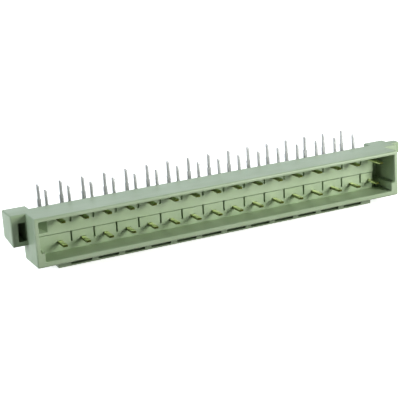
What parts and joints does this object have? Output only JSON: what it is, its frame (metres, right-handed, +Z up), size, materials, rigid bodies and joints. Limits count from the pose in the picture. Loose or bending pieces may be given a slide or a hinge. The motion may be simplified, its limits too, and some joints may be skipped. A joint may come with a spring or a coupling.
{
  "type": "backplane connector",
  "caption": "Right-angle board connector with a long open shroud, flat contact blades in double rows, solder tails pointing up and a flanged ear at each end.",
  "frame": {"origin": "middle of the bounding box in plan, at the underside of the rail that the connector stands on", "axes": "+X along the connector towards the ear with the lug, +Y from the open mating face back to the solder tails, +Z up, the way the solder tails point"},
  "size_m": [0.0958, 0.0172, 0.0147],
  "materials": {
    "housing_plastic": "moulded, satin",
    "contact_metal": "plated, smooth"
  },
  "bodies": {
    "root": {"housing": "housing_plastic", "upper_contact_01": "contact_metal", "upper_contact_02": "contact_metal", "upper_contact_03": "contact_metal", "upper_contact_04": "contact_metal", "upper_contact_05": "contact_metal", "upper_contact_06": "contact_metal", "upper_contact_07": "contact_metal", "upper_contact_08": "contact_metal", "upper_contact_09": "contact_metal", "upper_contact_10": "contact_metal", "upper_contact_11": "contact_metal", "upper_contact_12": "contact_metal", "upper_contact_13": "contact_metal", "upper_contact_14": "contact_metal", "upper_contact_15": "contact_metal", "upper_contact_16": "contact_metal", "lower_contact_01": "contact_metal", "lower_contact_02": "contact_metal", "lower_contact_03": "contact_metal", "lower_contact_04": "contact_metal", "lower_contact_05": "contact_metal", "lower_contact_06": "contact_metal", "lower_contact_07": "contact_metal", "lower_contact_08": "contact_metal", "lower_contact_09": "contact_metal", "lower_contact_10": "contact_metal", "lower_contact_11": "contact_metal", "lower_contact_12": "contact_metal", "lower_contact_13": "contact_metal", "lower_contact_14": "contact_metal", "lower_contact_15": "contact_metal", "lower_contact_16": "contact_metal"}
  },
  "joints": []
}
